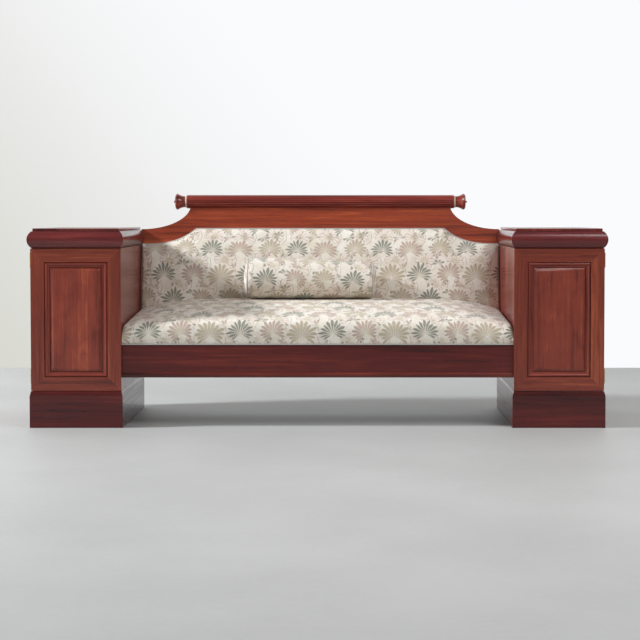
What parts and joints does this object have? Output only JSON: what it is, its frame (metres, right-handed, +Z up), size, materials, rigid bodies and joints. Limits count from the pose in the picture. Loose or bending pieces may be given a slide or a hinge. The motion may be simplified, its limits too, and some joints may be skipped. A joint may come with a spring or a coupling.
{
  "type": "sofa",
  "caption": "Box sofa with cupboard arms behind hinged panelled doors, a crowned seat, a raked back with a swept crest rail and reeded top bar, and a loose bolster.",
  "frame": {"origin": "on the floor, in the middle of the overall width and depth", "axes": "+X to the right along the seat, the front faces -Y, +Z up"},
  "size_m": [2.189, 0.6846, 0.8931],
  "materials": {
    "mahogany": "french-polished reddish brown mahogany veneer",
    "dark_mahogany": "french-polished dark mahogany",
    "flame_mahogany": "french-polished figured mahogany veneer",
    "pine": "bare planed pine",
    "beech": "bare planed beech",
    "pale_wood": "pale turned bone-coloured collar",
    "brass": "polished brass, slightly tarnished",
    "steel": "plain steel",
    "jacquard": "cream jacquard with grey-green and mauve palmettes",
    "gimp": "pale grey woven gimp",
    "hessian": "natural jute webbing and hessian",
    "dust_cloth": "plain brown cotton"
  },
  "bodies": {
    "root": {"left_plinth": "dark_mahogany", "left_inner_side": "mahogany", "left_outer_side": "mahogany", "left_back_board": "pine", "left_bottom_board": "pine", "left_top_board": "pine", "left_shelf": "pine", "left_cap_moulding": "mahogany", "left_cap_board": "mahogany", "right_plinth": "dark_mahogany", "right_inner_side": "mahogany", "right_outer_side": "mahogany", "right_back_board": "pine", "right_bottom_board": "pine", "right_top_board": "pine", "right_shelf": "pine", "right_cap_moulding": "mahogany", "right_cap_board": "mahogany", "shelf_cleats": "pine", "cupboard_hinge_leaves": "brass", "hinge_pins": "brass", "hinge_screws": "brass", "ball_catches": "brass", "seat_front_rail": "mahogany", "seat_rail_bead": "dark_mahogany", "seat_back_rail": "beech", "seat_end_rails": "beech", "seat_cross_rails": "beech", "bed_bolts": "steel", "seat_webbing": "hessian", "seat_base_cloth": "hessian", "seat_dust_cover": "dust_cloth", "seat_cushion": "jacquard", "seat_gimp": "gimp", "back_posts": "mahogany", "back_lower_rail": "beech", "crest_rail": "mahogany", "back_webbing": "hessian", "back_outer_cover": "dust_cloth", "back_pad": "jacquard", "back_gimp": "gimp", "top_bar": "mahogany", "bar_collars": "pale_wood", "finials": "mahogany", "finial_buttons": "mahogany"},
    "left_door": {"left_door_frame": "mahogany", "left_door_moulding": "dark_mahogany", "left_door_panel": "flame_mahogany", "left_door_leaves": "brass", "left_strike_plate": "brass", "left_door_screws": "brass"},
    "right_door": {"right_door_frame": "mahogany", "right_door_moulding": "dark_mahogany", "right_door_panel": "flame_mahogany", "right_door_leaves": "brass", "right_strike_plate": "brass", "right_door_screws": "brass"},
    "bolster": {"bolster": "jacquard", "bolster_piping": "gimp"}
  },
  "joints": [
    {"name": "left_door_hinge", "type": "hinge", "parent": "root", "child": "left_door", "pos_m": [-1.0866, -0.30628, 0.4], "axis": [0, 0, -1], "range_deg": [0, 180]},
    {"name": "right_door_hinge", "type": "hinge", "parent": "root", "child": "right_door", "pos_m": [1.0866, -0.30628, 0.4], "axis": [0, 0, 1], "range_deg": [0, 180]},
    {"name": "bolster_lift", "type": "slide", "parent": "root", "child": "bolster", "axis": [0, 0, 1], "range_m": [0, 0.45]}
  ]
}
